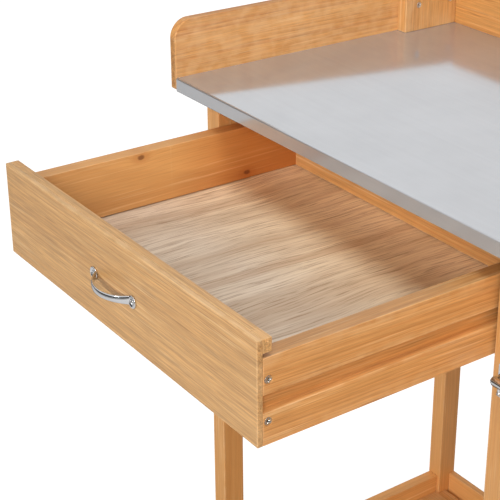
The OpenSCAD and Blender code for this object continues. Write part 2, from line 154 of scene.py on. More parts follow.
class Material(Graph):
    """The graph of a new material round its Principled shader."""

    def __init__(self, name):
        self.mat = bpy.data.materials.new(name)
        self.mat.use_nodes = True
        super().__init__(self.mat.node_tree)

    def finish(self, **inputs):
        bsdf = self.tree.nodes["Principled BSDF"]
        for key, value in inputs.items():
            self.put(bsdf.inputs[key.replace("_", " ")], value)
        return self.mat


def rgb(text):
    """Linear colour from an sRGB hex text."""
    out = []
    for i in (0, 2, 4):
        c = int(text[i:i + 2], 16) / 255
        out.append(c / 12.92 if c <= 0.04045 else ((c + 0.055) / 1.055) ** 2.4)
    return (*out, 1.0)


def knot_field(g, pos):
    """The distance from the nearest knot, and how far that knot pushes the rings aside."""
    near = [g.length(g.stretch(g.attr(k, "Vector"), (0.6, 1.0, 0.0))) for k in ("knot_a", "knot_b")]
    near = g.add(g.math("MINIMUM", *near), g.mul(g.noise(pos, 220), 1.6 * MM))
    fall = g.math("POWER", g.math("DIVIDE", near, 11 * MM), 2.0)
    return near, g.mul(g.math("EXPONENT", g.mul(fall, -1.0)), 6 * MM)


def growth_rings(g, pos, push, spacing):
    """0 in early wood to 1 in late wood, with warped rings of uneven width."""
    warp = g.offset(g.figure(pos, 2.2, 7, out=1), (0.0, 12 * MM, 12 * MM))
    fine = g.offset(g.figure(pos, 14, 60, out=1), (0.0, 1 * MM, 1 * MM))
    place = g.vmath("ADD", g.vmath("ADD", g.stretch(pos, (0, 1, 1)), warp), fine)
    radius = g.add(g.length(place), push)
    uneven = g.noise(g.node("ShaderNodeCombineXYZ", X=g.mul(radius, 70.0)), 1.0)
    part = g.math("FRACT", g.add(g.math("DIVIDE", radius, spacing * MM), g.mul(uneven, 3.4)))
    return g.mul(g.remap(part, 0.30, 0.88, smooth=True), g.remap(part, 1.0, 0.90, smooth=True))


def wood(name, early, late, knot, fibre, spacing=4.2, contrast=0.55, blotch=0.10, ends=(0.46, 0.0)):
    """Solid timber. early, late and knot are its colours and spacing is a ring's width in mm.
    contrast, fibre and blotch say how strong the rings, the fibres and the broad patches are, and
    ends how much darker the end grain is in its dots and between them."""
    g = Material(name)
    pos = g.attr("gpos", "Vector")
    knot_far, push = knot_field(g, pos)
    rings = growth_rings(g, pos, push, spacing)
    patchy = g.remap(g.figure(pos, 3.0, 45), 0.32, 0.68, 0.15, 1.0)
    rings = g.mul(rings, g.mul(patchy, contrast))
    col = g.mix(rings, early, late)
    # broad warmth, short resin lines and pale streaks
    broad = g.figure(pos, 1.1, 24, 3, 0.55)
    col = g.mix(g.mul(g.remap(broad, 0.42, 0.75), 0.28), col, late)
    streak = g.figure(pos, 6, 190, 3, 0.6)
    lines = g.figure(pos, 13, 640, 3, 0.75)
    pores = g.figure(pos, 34, 1500, 2, 0.6)
    resin = g.figure(pos, 16, 330, 1, 0.4)
    col = g.mix(g.remap(resin, 0.66, 0.76, 0.0, min(0.42, 3.0 * fibre)), col, knot)
    pale = g.figure(g.vmath("ADD", pos, (3.0, 1.0, 2.0)), 7, 300)
    col = g.mix(g.remap(pale, 0.60, 0.72, 0.0, 0.5), col, g.mix(0.45, early, PALE_STREAK))
    # fibres, patches and end grain change the brightness
    shade = g.remap(lines, 0.28, 0.72, 1.0 - 1.7 * fibre, 1.0 + 1.7 * fibre)
    shade = g.add(shade, g.vary(pores, -fibre, fibre))
    shade = g.add(shade, g.vary(streak, -0.45 * fibre, 0.45 * fibre))
    shade = g.mul(shade, g.vary(broad, 1.0 + blotch * 0.5, 1.0 - blotch * 0.5))
    dots = g.figure(pos, 200, 340, 4, 0.75)
    dark = g.mul(g.attr("end"), g.remap(dots, 0.38, 0.62, *ends))
    shade = g.mul(g.mul(shade, g.attr("tone")), g.math("SUBTRACT", 1.0, dark))
    col = g.scaled(col, shade)
    # knots: a darker halo, and a core with its own small rings
    small = g.math("MULTIPLY_ADD", g.math("SINE", g.mul(knot_far, 4200.0)), 0.12, 0.9)
    col = g.mix(g.mul(g.remap(knot_far, 12 * MM, 4 * MM, smooth=True), 0.4), col, late)
    core = g.remap(knot_far, 4.6 * MM, 2.6 * MM, smooth=True)
    col = g.mix(g.mul(core, 0.8), col, g.scaled(knot, small))
    # worn edges are a little paler
    wear = g.mul(g.attr("edge"), g.remap(g.noise(pos, 55, 3), 0.35, 0.65, 0.05, 0.4))
    col = g.mix(wear, col, g.mix(0.3, early, PALE_EDGE))
    # painted shade under the worktop's lip: darker and redder towards the back
    col = g.mix(g.attr("stain"), col, g.stretch(col, LIP_SHADE_TINT))
    height = g.add(g.add(g.mul(lines, 0.6), g.mul(rings, 0.35)), g.mul(pores, 0.25))
    rough = g.add(g.vary(lines, WOOD_ROUGH - 0.05, WOOD_ROUGH + 0.08), g.mul(rings, -0.08))
    return g.finish(Base_Color=col, Roughness=rough, Normal=g.bump(height, 0.35, 0.25 * MM))


def plywood(name):
    """Rotary-cut sheet: broad flames, darker streaks and short pores along the grain."""
    g = Material(name)
    pos = g.attr("gpos", "Vector")
    bend = g.figure(pos, 3.5, 5, out=1)
    pos = g.vmath("ADD", pos, g.offset(bend, (0.0, 50 * MM, 0.0)))
    broad = g.figure(pos, 2.6, 8, 3, 0.55)
    flame = g.figure(pos, 2.0, 42, 3, 0.6)
    pore = g.figure(pos, 24, 760, 2, 0.6)
    fibre = g.figure(pos, 4.5, 330, 4, 0.75)
    col = g.mix(g.remap(broad, 0.35, 0.65, smooth=True), rgb("cfbba3"), rgb("eadcc8"))
    col = g.mix(g.remap(flame, 0.50, 0.68, 0.0, 0.55), col, rgb("bb9a7c"))
    col = g.mix(g.remap(flame, 0.46, 0.30, 0.0, 0.5), col, rgb("f0e2cd"))
    col = g.mix(g.remap(fibre, 0.42, 0.70, 0.0, 0.65), col, rgb("b39a80"))
    col = g.mix(g.remap(pore, 0.54, 0.66, 0.0, 0.7), col, rgb("967558"))
    # painted warm bounce light in the shade under the worktop's lip: paler and warmer towards the back
    warm = g.mul(g.attr("stain"), g.vary(broad, 0.8, 1.2), clamp=True)
    col = g.mix(warm, col, g.stretch(col, LIP_BOUNCE_TINT))
    height = g.add(g.mul(fibre, 0.5), g.mul(pore, -0.5))
    rough = g.vary(fibre, 0.55, 0.7)
    return g.finish(Base_Color=col, Roughness=rough, Normal=g.bump(height, 0.3, 0.15 * MM))


def metal(name, colour, rough, fine, cloud, bump, metallic=1.0, grain=(6, 400), wear=0.4):
    """Metal. fine, cloud and wear say how strong its drawn lines, its faint clouds and its marks are."""
    g = Material(name)
    pos = g.attr("gpos", "Vector")
    lines = g.figure(pos, *grain, 3, 0.65)
    clouds = g.noise(pos, 14, 3, 0.6)
    marks = g.noise(g.stretch(pos, (60, 140, 90)), 1.0, 3, 0.7)
    shade = g.mul(g.vary(clouds, 1 - cloud, 1 + cloud), g.vary(lines, 1 - fine, 1 + fine))
    col = g.scaled(colour, g.mul(shade, g.attr("tone")))
    matt = g.vary(clouds, rough * 0.88, rough * 1.12)
    matt = g.add(matt, g.remap(marks, 0.55, 0.8, 0.0, rough * wear))
    height = g.add(lines, g.mul(marks, wear))
    return g.finish(Base_Color=col, Metallic=metallic, Roughness=matt,
                    Normal=g.bump(height, bump, 0.06 * MM))


FIR, FIR_KNOT = rgb("d09b5e"), rgb("7a4420")
M = {
    "fir": wood("fir", FIR, rgb("b06d35"), FIR_KNOT, 0.11),
    "fir_smooth": wood("fir_smooth", FIR, rgb("b87439"), FIR_KNOT, 0.04, contrast=0.32, blotch=0.06),
    "fir_light": wood("fir_light", rgb("d09654"), rgb("b0682c"), FIR_KNOT, 0.12, spacing=7.5,
                      contrast=0.65, blotch=0.14),
    "fir_pale": wood("fir_pale", rgb("cfa36c"), rgb("b27c45"), rgb("8a5a30"), 0.16, spacing=4.0,
                     ends=(0.30, -0.16)),
    "plywood": plywood("plywood"),
    "zinc_sheet": metal("zinc_sheet", (0.495, 0.512, 0.538, 1), 0.12, fine=0.020, cloud=0.034, bump=0.008,
                        metallic=0.60, grain=(3, 160), wear=0.0),
    "chrome": metal("chrome", (0.74, 0.75, 0.77, 1), 0.10, fine=0.02, cloud=0.03, bump=0.03),
    "steel": metal("steel", (0.66, 0.65, 0.63, 1), 0.28, fine=0.07, cloud=0.10, bump=0.12),
}


# Mesh helpers --------------------------------------------------------------


def put_object(name, data):
    obj = bpy.data.objects.new(name, data)
    SCENE.collection.objects.link(obj)
    return obj


def make_mesh(name, bm):
    mesh = bpy.data.meshes.new(name)
    bm.to_mesh(mesh)
    bm.free()
    return mesh


def corners(node):
    return np.array([v.co for v in NODES[node].data.vertices], float)


def longest(lo, hi):
    """The axis along which a box is longest."""
    return max(range(3), key=lambda i: hi[i] - lo[i])


def loose_parts(node):
    """Boxes (low, high) of a CAD node's separate solids, sorted by place."""
    keys, index = np.unique(np.round(corners(node), 6), axis=0, return_inverse=True)
    index = index.reshape(-1)
    parent = list(range(len(keys)))

    def root(i):
        while parent[i] != i:
            parent[i] = parent[parent[i]]
            i = parent[i]
        return i

    for poly in NODES[node].data.polygons:
        first = root(index[poly.vertices[0]])
        for v in poly.vertices[1:]:
            parent[root(index[v])] = first
    groups = {}
    for i in range(len(keys)):
        groups.setdefault(root(i), []).append(keys[i])
    boxes = [(Vector(np.min(g, 0)), Vector(np.max(g, 0))) for g in groups.values()]
    return sorted(boxes, key=lambda b: tuple(round(c, 4) for c in b[0]))


def round_edges(bm, bevel, angle=35.0, segments=3):
    if bevel <= 0:
        return
    sharp = math.radians(angle)
    edges = [e for e in bm.edges if len(e.link_faces) == 2 and e.calc_face_angle(0) > sharp]
    bmesh.ops.bevel(bm, geom=edges, offset=bevel, segments=segments, profile=0.6, affect="EDGES",
                    clamp_overlap=True)


def box_mesh(lo, hi, bevel):
    bm = bmesh.new()
    size, mid = hi - lo, (hi + lo) / 2
    bmesh.ops.create_cube(bm, size=1.0, matrix=Matrix.Translation(mid) @ Matrix.Diagonal((*size, 1.0)))
    round_edges(bm, bevel)
    return bm


def tube(bm, rings):
    """Walls between rings of equally many vertices, and a lid on each end."""
    n = len(rings[0])
    for a, b in zip(rings, rings[1:]):
        for i in range(n):
            bm.faces.new((a[i], a[(i + 1) % n], b[(i + 1) % n], b[i]))
    bm.faces.new(rings[0])
    bm.faces.new(rings[-1])
    bmesh.ops.recalc_face_normals(bm, faces=bm.faces)


def arc(centre, radius, start, turn, steps):
    """Points of a circle's arc. start and turn are in degrees."""
    angles = [math.radians(start + turn * i / steps) for i in range(steps + 1)]
    return [(centre[0] + radius * math.cos(t), centre[1] + radius * math.sin(t)) for t in angles]


def prism_mesh(points, axis, a, b, bevel):
    """A closed outline in the plane across `axis`, drawn from a to b along it, with rounded edges."""
    bm = bmesh.new()
    others = [i for i in range(3) if i != axis]

    def ring(at):
        out = []
        for p in points:
            co = [0.0, 0.0, 0.0]
            co[axis], co[others[0]], co[others[1]] = at, p[0], p[1]
            out.append(bm.verts.new(co))
        return out

    tube(bm, [ring(a), ring(b)])
    round_edges(bm, bevel)
    return bm


def cut(bm, cutters):
    """Subtracts closed meshes from bm with an exact boolean."""
    obj = put_object("cut", make_mesh("cut", bm))
    tools = bmesh.new()
    for c in cutters:
        mesh = make_mesh("tmp", c)
        tools.from_mesh(mesh)
        bpy.data.meshes.remove(mesh)
    tool = put_object("tools", make_mesh("tools", tools))
    mod = obj.modifiers.new("cut", "BOOLEAN")
    mod.operation, mod.solver, mod.object = "DIFFERENCE", "EXACT", tool
    out = bmesh.new()
    out.from_object(obj, bpy.context.evaluated_depsgraph_get())
    bpy.data.objects.remove(obj)
    bpy.data.objects.remove(tool)
    return out


def facing(origin, direction):
    """Turns +z to direction and moves the origin."""
    return Matrix.Translation(origin) @ UP.rotation_difference(Vector(direction)).to_matrix().to_4x4()


def turned(profile, origin, direction, segments=48):
    """A closed lathe mesh: (radius, height) pairs turned about `direction` from `origin`."""
    bm = bmesh.new()
    m = facing(origin, direction)
    rings = []
    for r, h in profile:
        if r == 0:
            rings.append([bm.verts.new(m @ Vector((0, 0, h)))])
        else:
            rings.append([bm.verts.new(m @ Vector((r * math.cos(t), r * math.sin(t), h)))
                          for t in (2 * math.pi * i / segments for i in range(segments))])
    for a, b in zip(rings, rings[1:]):
        for i in range(segments):
            quad = [a[i % len(a)], a[(i + 1) % len(a)], b[(i + 1) % len(b)], b[i % len(b)]]
            quad = list(dict.fromkeys(quad))
            if len(quad) > 2:
                bm.faces.new(quad)
    bmesh.ops.recalc_face_normals(bm, faces=bm.faces)
    return bm


# Pieces ----------------------------------------------------------------------

GRAIN_VECTORS, GRAIN_VALUES = ("gpos", "knot_a", "knot_b"), ("edge", "end", "tone", "stain")
NO_KNOT = 9.0  # a distance at which a knot does nothing
FAR = 20  # how far along the grain two boards may be cut from each other
KNOT_CHANCE = 0.35
KNOT_LENGTH, KNOT_WIDTH = 0.25, 0.03  # the smallest board that may have one


def grain_of(mesh, lo, hi, axis, rng, bevel, knots=(), flat=None, tone=None, stain=None):
    """Values of the grain attributes at a solid's vertices. gpos runs along the grain in x, and its y
    and z are measured from the pith. flat is the depth of the pith under the face, tone a brightness
    or a function of the vertices, and stain the range of y over which painted shade from the
    worktop's lip sets in."""
    co = np.array([v.co for v in mesh.vertices], float).reshape(-1, 3)
    lo, hi = np.array(lo), np.array(hi)
    mid, size = (lo + hi) / 2, hi - lo
    wide, thin = [i for i in range(3) if i != axis]
    if size[wide] < size[thin]:
        wide, thin = thin, wide
    depth = flat if flat is not None else rng.uniform(0.02, 0.09)
    shift = (rng.uniform(0.5, 1.4) * size[wide] * rng.choice((-1, 1)), depth * rng.choice((-1, 1)))
    slope = rng.uniform(-0.02, 0.02)
    along = co[:, axis] - mid[axis]
    gpos = np.stack([along + rng.uniform(-FAR, FAR),
                     co[:, wide] - mid[wide] + shift[0] + slope * along,
                     co[:, thin] - mid[thin] + shift[1]], 1)
    places = []
    for knot in (list(knots) + [None, None])[:2]:
        away = np.full_like(co, NO_KNOT) if knot is None else (co - np.array(knot))[:, (axis, wide, thin)]
        places.append(away)
    near_lo, near_hi = co - lo < bevel * 1.3, hi - co < bevel * 1.3
    edge = ((near_lo | near_hi).sum(1) >= 2).astype(float)
    end = ((co[:, axis] - lo[axis] < TINY) | (hi[axis] - co[:, axis] < TINY)).astype(float)
    bright = tone if tone is not None else rng.uniform(0.93, 1.06)
    if callable(bright):
        bright = bright(co)
    bright = np.broadcast_to(np.asarray(bright, float), len(co))
    lip_shade_values = np.zeros(len(co))
    if stain:
        lip_shade_values = np.clip((co[:, 1] - stain[0]) / (stain[1] - stain[0]), 0, 1)
    return gpos, *places, edge, end, bright, lip_shade_values


class Piece:
    """Collects solids with their grain into one object."""

    def __init__(self, name, slot, node, look=None):
        self.name, self.slot, self.node = name, slot, node
        self.look = look or slot
        self.rng = random.Random(name)
        self.bm = bmesh.new()
        self.grain = []

    def add(self, bm, lo=None, hi=None, axis=None, bevel=0.0, inset=True, **grain):
        """Adds a solid. inset frames its flat faces, so that worn edges stay narrow."""
        if lo is None:
            co = np.array([v.co for v in bm.verts])
            lo, hi = Vector(co.min(0)), Vector(co.max(0))
        if axis is None:
            axis = longest(lo, hi)
        # cuts across at the y values where the painted shade under the lip sets in and where it is full
        for y in grain.get("stain") or ():
            geom = [*bm.verts, *bm.edges, *bm.faces]
            bmesh.ops.bisect_plane(bm, geom=geom, dist=0.1 * TINY, plane_co=(0, y, 0), plane_no=(0, 1, 0))
        if inset:
            big = [f for f in bm.faces if f.calc_area() > (4 * bevel) ** 2 and len(f.verts) == 4
                   and min(e.calc_length() for e in f.edges) > 6 * bevel]
            bmesh.ops.inset_individual(bm, faces=big, thickness=1.5 * bevel, use_even_offset=True)
        mesh = make_mesh("tmp", bm)
        self.grain.append(grain_of(mesh, lo, hi, axis, self.rng, bevel, **grain))
        self.bm.from_mesh(mesh)
        bpy.data.meshes.remove(mesh)

    def box(self, lo, hi, bevel, **kw):
        size = sorted((hi[i] - lo[i], i) for i in range(3))
        plain = "knots" not in kw and size[2][0] > KNOT_LENGTH and size[1][0] > KNOT_WIDTH
        if plain and self.rng.random() < KNOT_CHANCE:
            knot = [(lo[i] + hi[i]) / 2 for i in range(3)]
            for span, i in size[1:]:
                knot[i] += self.rng.uniform(-0.36, 0.36) * span
            kw["knots"] = [knot]
        self.add(box_mesh(lo, hi, bevel), lo, hi, bevel=bevel, **kw)

    def done(self):
        mesh = make_mesh(self.name, self.bm)
        for k, name in enumerate(GRAIN_VECTORS + GRAIN_VALUES):
            vector = name in GRAIN_VECTORS
            layer = mesh.attributes.new(name, "FLOAT_VECTOR" if vector else "FLOAT", "POINT")
            values = np.concatenate([g[k] for g in self.grain]).astype(np.float32).ravel()
            layer.data.foreach_set("vector" if vector else "value", values)
        mesh.shade_smooth()
        mesh.materials.append(M[self.look])
        obj = put_object(self.name, mesh)
        mod = obj.modifiers.new("normals", "WEIGHTED_NORMAL")
        mod.keep_sharp, mod.weight = True, 90
        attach(obj, BODY[self.node])
        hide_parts(self.node)


# Screws ----------------------------------------------------------------------

FLUSH_RADIUS = 3 * MM


def screw_head(origin, direction, radius, dome, sunk, spin):
    """A countersunk head with a cross recess, and the brightness of each of its vertices. The floor of
    the recess is painted shade, nearly black.
    """
    top = -sunk
    profile = [(0, top + dome), (0.45 * radius, top + 0.8 * dome), (0.85 * radius, top + 0.25 * dome),
               (0.97 * radius, top), (radius, top - 0.15 * MM), (0.93 * radius, top - 0.5 * MM),
               (0.5 * radius, top - 2.2 * MM), (0, top - 2.2 * MM)]
    bm = turned(profile, (0, 0, 0), UP, 40)
    for turn in (spin, 90 + spin):
        slot = bmesh.new()
        bmesh.ops.create_cube(slot, size=1.0, matrix=Matrix.Rotation(math.radians(turn), 4, "Z")
                              @ Matrix.Translation((0, 0, top))
                              @ Matrix.Diagonal((1.45 * radius, 0.34 * radius, 2.4 * MM, 1.0)))
        for v in slot.verts:
            if v.co.z < top:
                v.co.x *= 0.6
                v.co.y *= 0.6
        bm = cut(bm, [slot])
    floor_z, reach = top - 0.2 * MM, 0.85 * radius
    # painted shade: the floor of the cross recess is made nearly black
    recess_shade_tones = [0.04 if v.co.z < floor_z and v.co.xy.length < reach else 1.0 for v in bm.verts]
    bm.transform(facing(origin, direction))
    return bm, recess_shade_tones


def countersink(origin, direction, radius):
    """The hole that a flat head sits in."""
    return turned([(0, 1 * MM), (radius * 1.24, 1 * MM), (radius * 1.20, 0.0), (radius * 1.04, -0.8 * MM),
                   (radius * 0.5, -3.2 * MM), (0, -3.2 * MM)], origin, direction, 40)


def screws_of(node):
    """(origin, direction, radius) of the head of each screw of a CAD node. The head is its wider end."""
    co = corners(node)
    out = []
    for lo, hi in loose_parts(node):
        axis = longest(lo, hi)
        across = [i for i in range(3) if i != axis]
        mid = (lo + hi) / 2
        own = co[np.all((co >= np.array(lo) - TINY) & (co <= np.array(hi) + TINY), 1)]
        ends = []
        for side, at in ((-1, lo[axis]), (1, hi[axis])):
            ring = own[np.abs(own[:, axis] - at) < 10 * TINY]
            spread = np.hypot(*(ring[:, i] - mid[i] for i in across))
            ends.append((float(np.max(spread)), side, at))
        radius, side, at = max(ends)
        origin, direction = Vector(mid), Vector((0, 0, 0))
        origin[axis], direction[axis] = at, side
        out.append((origin, direction, radius))
    return out


SCREWS = {node: screws_of(node) for node in ("frame_screws", "drawer_screws", "door_screws")}


def sinks(node, lo, hi):
    """Countersinks for the screws of a node whose heads lie on the surface of the box lo..hi."""
    slack = 0.1 * MM
    out = []
    for origin, direction, radius in SCREWS[node]:
        if radius > FLUSH_RADIUS and all(lo[i] - slack <= origin[i] <= hi[i] + slack for i in range(3)):
            axis = max(range(3), key=lambda i: abs(direction[i]))
            face = hi[axis] if direction[axis] > 0 else lo[axis]
            if abs(face - origin[axis]) < slack:
                out.append(countersink(origin, direction, radius))
    return out


for node, screws in SCREWS.items():
    piece = Piece(node + "_heads", "steel", node)
    for i, (origin, direction, radius) in enumerate(screws):
        dome, sunk = (0.15 * MM, 0.6 * MM) if radius > FLUSH_RADIUS else (0.7 * MM, 0.75 * MM)
        bm, recess_shade_tones = screw_head(origin, direction, radius, dome, sunk, spin=20 + 37 * (i % 5))
        piece.add(bm, bevel=0.5 * MM, inset=False, tone=recess_shade_tones)
    piece.done()


# Boards ------------------------------------------------------------------------

DONE = set(SCREWS)
BOARD_BEVEL = 1.2 * MM


def wood_piece(node, look=None):
    DONE.add(node)
    return Piece(node + "_wood", SLOT[node], node, look)


def boards(node, bevel=BOARD_BEVEL, trim=(0, 0, 0), look=None, tongues=False, **grain):
    """Each solid of a CAD node as a board with rounded edges and its own grain. trim opens its joints a
    little, and tongues close the gaps between boards that stand side by side."""
    piece = wood_piece(node, look)
    parts = loose_parts(node)
    for lo, hi in parts:
        piece.box(lo + Vector(trim), hi - Vector((trim[0], trim[1], 0)), bevel, **grain)
    lap = 0.05 * MM
    for (lo, hi), (next_lo, _) in zip(parts, parts[1:]) if tongues else ():
        across = longest(lo, next_lo)
        thin = min(range(3), key=lambda i: hi[i] - lo[i])
        third = (hi[thin] - lo[thin]) / 3
        t_lo, t_hi = Vector(lo), Vector(hi)
        t_lo[across], t_hi[across] = hi[across] - lap, next_lo[across] + lap
        t_lo[thin], t_hi[thin] = lo[thin] + third, hi[thin] - third
        t_lo.z, t_hi.z = lo.z + bevel, hi.z - bevel
        piece.add(box_mesh(t_lo, t_hi, 0), t_lo, t_hi, inset=False)
    piece.done()


# side boards: rounded front corner, screws through to the worktop
SIDE_CORNER, SIDE_BEVEL = 25 * MM, 1.5 * MM

for node in ("side_board_left", "side_board_right"):
    lo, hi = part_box(node)
    centre = Vector((lo.y + SIDE_CORNER, hi.z - SIDE_CORNER))
    outline = [(hi.y, lo.z), (hi.y, hi.z), *arc(centre, SIDE_CORNER, 90, 90, 16), (lo.y, lo.z)]
    bm = cut(prism_mesh(outline, 0, lo.x, hi.x, SIDE_BEVEL), sinks("frame_screws", lo, hi))
    piece = wood_piece(node)
    piece.add(bm, lo, hi, axis=1, bevel=SIDE_BEVEL, flat=0.05, tone=0.94)
    piece.done()

for node in ("upright_left", "upright_right"):
    lo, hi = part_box(node)
    piece = wood_piece(node)
    bm = cut(box_mesh(lo, hi, BOARD_BEVEL), sinks("frame_screws", lo, hi))
    piece.add(bm, lo, hi, axis=2, bevel=BOARD_BEVEL)
    piece.done()

# drawer: the groove that holds the bottom sheet is a little wider than the sheet
DRAWER_BEVEL = 0.8 * MM
SHEET_LO, SHEET_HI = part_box("drawer_bottom")
SLIT = (SHEET_LO.z, SHEET_HI.z + 1.3 * MM)
SLIT_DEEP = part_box("drawer_side_left")[1].x - SHEET_LO.x + 0.5 * MM


def slit(face, inward):
    """The groove's outline in a board whose inner face is at `face`, from its upper to its lower edge."""
    deep = face + inward * SLIT_DEEP
    return [(face, SLIT[1]), (deep, SLIT[1]), (deep, SLIT[0]), (face, SLIT[0])]


for node, inward in (("drawer_inner_front", -1), ("drawer_back", 1)):
    lo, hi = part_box(node)
    near, far = (hi.y, lo.y) if inward < 0 else (lo.y, hi.y)
    outline = [(far, lo.z), (far, hi.z), (near, hi.z), *slit(near, inward), (near, lo.z)]
    piece = wood_piece(node)
    piece.add(prism_mesh(outline, 0, lo.x, hi.x, DRAWER_BEVEL), lo, hi, axis=0, bevel=DRAWER_BEVEL)
    piece.done()

# drawer sides: a groove outside for the runner, and screws. The left one has two knots and painted
# shade towards the back, under the worktop's lip, and the right one a darker upper edge.
RUNNER_PLAY, RUNNER_DEEP = 1 * MM, 9 * MM
SIDE_KNOTS = ((158.5 * MM, 6 * MM), (311 * MM, 61.6 * MM))  # back from the front end, down from the top
SIDE_LIP_SHADE, SHEET_LIP_SHADE = (0.20, 0.31), (0.16, 0.29)  # where the painted shade under the lip sets in and where it is full
runner_lo, runner_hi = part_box("runner_left")
g0, g1 = runner_lo.z - RUNNER_PLAY, runner_hi.z + RUNNER_PLAY
for node, outer in (("drawer_side_left", -1), ("drawer_side_right", 1)):
    lo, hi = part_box(node)
    face, back = (hi.x, lo.x) if outer > 0 else (lo.x, hi.x)
    deep = face - outer * RUNNER_DEEP
    outline = [(back, lo.z), (face, lo.z), (face, g0), (deep, g0), (deep, g1), (face, g1), (face, hi.z),
               (back, hi.z), *slit(back, outer)]
    bm = cut(prism_mesh(outline, 1, lo.y, hi.y, DRAWER_BEVEL), sinks("drawer_screws", lo, hi))
    if outer < 0:
        look, grain = "fir_smooth", dict(tone=1.07, stain=[lo.y + y for y in SIDE_LIP_SHADE])
        grain["knots"] = [(back, lo.y + along, hi.z - down) for along, down in SIDE_KNOTS]
    else:
        top = hi.z - 10 * TINY
        look, grain = "fir", dict(tone=lambda co, top=top: np.where(co[:, 2] > top, 0.76, 1.02))
    piece = wood_piece(node, look)
    piece.add(bm, lo, hi, axis=1, bevel=DRAWER_BEVEL, flat=0.045, **grain)
    piece.done()

# bottom shelf: boards notched round the legs
NOTCH_PLAY, NOTCH_REACH = 0.2 * MM, 0.3 * MM
piece = wood_piece("shelf_slats")
legs = [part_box(f"leg_{end}_{side}") for end in ("front", "rear") for side in ("left", "right")]
for lo, hi in loose_parts("shelf_slats"):
    outline = [(lo.x, lo.y), (hi.x, lo.y), (hi.x, hi.y), (lo.x, hi.y)]
    for leg_lo, leg_hi in legs:
        if leg_lo.y - NOTCH_REACH < hi.y and leg_hi.y + NOTCH_REACH > lo.y:
            front, left = leg_hi.y < 0, leg_hi.x < 0
            nx = leg_hi.x + NOTCH_PLAY if left else leg_lo.x - NOTCH_PLAY
            ny = leg_hi.y + NOTCH_PLAY if front else leg_lo.y - NOTCH_PLAY
            cx, cy = lo.x if left else hi.x, lo.y if front else hi.y
            notch = [(cx, ny), (nx, ny), (nx, cy)]
            if front != left:
                notch.reverse()
            i = outline.index((cx, cy))
            outline[i:i + 1] = notch
    piece.add(prism_mesh(outline, 2, lo.z, hi.z, BOARD_BEVEL), lo, hi, axis=0, bevel=BOARD_BEVEL)
piece.done()

# the boards that need a word of their own
# the low rails and the rear legs have brighter tones: painted light on parts that sit in shade low under
# the bench
SMOOTH = {"post_front": 0.92, "low_rail_left": 1.36, "low_rail_right": 1.36, "low_rail_back": 1.32,
          "low_rail_front": 1.1, "leg_front_left": 1.05, "leg_front_right": 1.05, "leg_rear_left": 1.20,
          "leg_rear_right": 1.20}
SPECIAL = {node: dict(look="fir_smooth", tone=tone) for node, tone in SMOOTH.items()}
SPECIAL.update({
    "drawer_panel": dict(bevel=0.9 * MM, flat=0.03, tone=0.85, knots=()),
    "drawer_top_rail": dict(bevel=0.7 * MM, trim=(0.8 * MM, 0, 0), tone=0.82),
    "drawer_corner_blocks": dict(bevel=0.5 * MM, axis=0, trim=(0, 0, 2.4 * MM), tone=0.97),
    # the back of the sheet gets painted warm bounce light in the shade under the worktop's lip
    "drawer_bottom": dict(bevel=0.3 * MM, axis=1, tone=1.0, knots=(),
                          stain=[SHEET_LO.y + y for y in SHEET_LIP_SHADE]),
    "door_boards": dict(bevel=2.0 * MM, tongues=True),
    "cupboard_side_left": dict(bevel=1.8 * MM, tongues=True),
    "cupboard_side_right": dict(bevel=1.8 * MM, tongues=True),
    "cupboard_back": dict(bevel=1.8 * MM, tongues=True),
    "back_board": dict(bevel=1.5 * MM, flat=0.05),
    "raised_shelf": dict(bevel=2.0 * MM),
})
CHROME = ("bolt_plate", "bolt", "bolt_keeper")
STEEL = ("hinge_leaves_fixed", "hinge_leaves_door", "hinge_pins", "hooks")
METAL = {"metal_top", "drawer_handle", "door_handle", *CHROME, *STEEL}
for node in sorted(NODES):
    if node not in DONE and node not in METAL:
        boards(node, **SPECIAL.get(node, {}))


# Metal ---------------------------------------------------------------------------

# worktop sheet: a small bend at the front and a rolled lower edge
lo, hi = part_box("metal_top")
SHEET, BEND, ROLL = 1.0 * MM, 2.0 * MM, 0.95 * MM
bend_at = (lo.y + BEND, hi.z - BEND)
outline = [(hi.y, hi.z - SHEET), (hi.y, hi.z), *arc(bend_at, BEND, 90, 90, 8),
           *arc((lo.y + ROLL, lo.z + ROLL), ROLL, 180, 180, 8), (lo.y + SHEET, lo.z + 2 * ROLL),
           *arc(bend_at, BEND - SHEET, 180, -90, 6)]
piece = Piece("metal_top_sheet", "zinc_sheet", "metal_top")
piece.add(prism_mesh(outline, 0, lo.x, hi.x, 0), lo, hi, axis=0, inset=False, tone=1.0, flat=0.05)
piece.done()

STRAP, FOOT = 2.6 * MM, 2.0 * MM
STRAP_RINGS, STRAP_SIDES = 48, 20


def strap_ring(bm, s, radius, half_angle, rise, place):
    """One cross-section of a bowed strap at s, -1 to 1 along it. It is rounder outside than inside."""
    a = half_angle * s
    centre = Vector((radius * math.sin(a), radius * math.cos(a) - (radius - rise)))
    out = Vector((math.sin(a), math.cos(a)))
    half_wide = (3.7 + 1.5 * abs(s) ** 3) * MM
    half_thick = STRAP / 2 * (1.0 - 0.25 * abs(s) ** 4)
    ring = []
    for j in range(STRAP_SIDES):
        t = 2 * math.pi * j / STRAP_SIDES
        power = 1.0 if math.sin(t) > 0 else 0.6
        sx = math.copysign(abs(math.cos(t)) ** power, math.cos(t))
        sy = math.copysign(abs(math.sin(t)) ** power, math.sin(t))
        off = out * (half_thick * sy)
        ring.append(bm.verts.new(place(centre.x + off.x, max(centre.y + off.y, 0.0), half_wide * sx)))
    return ring


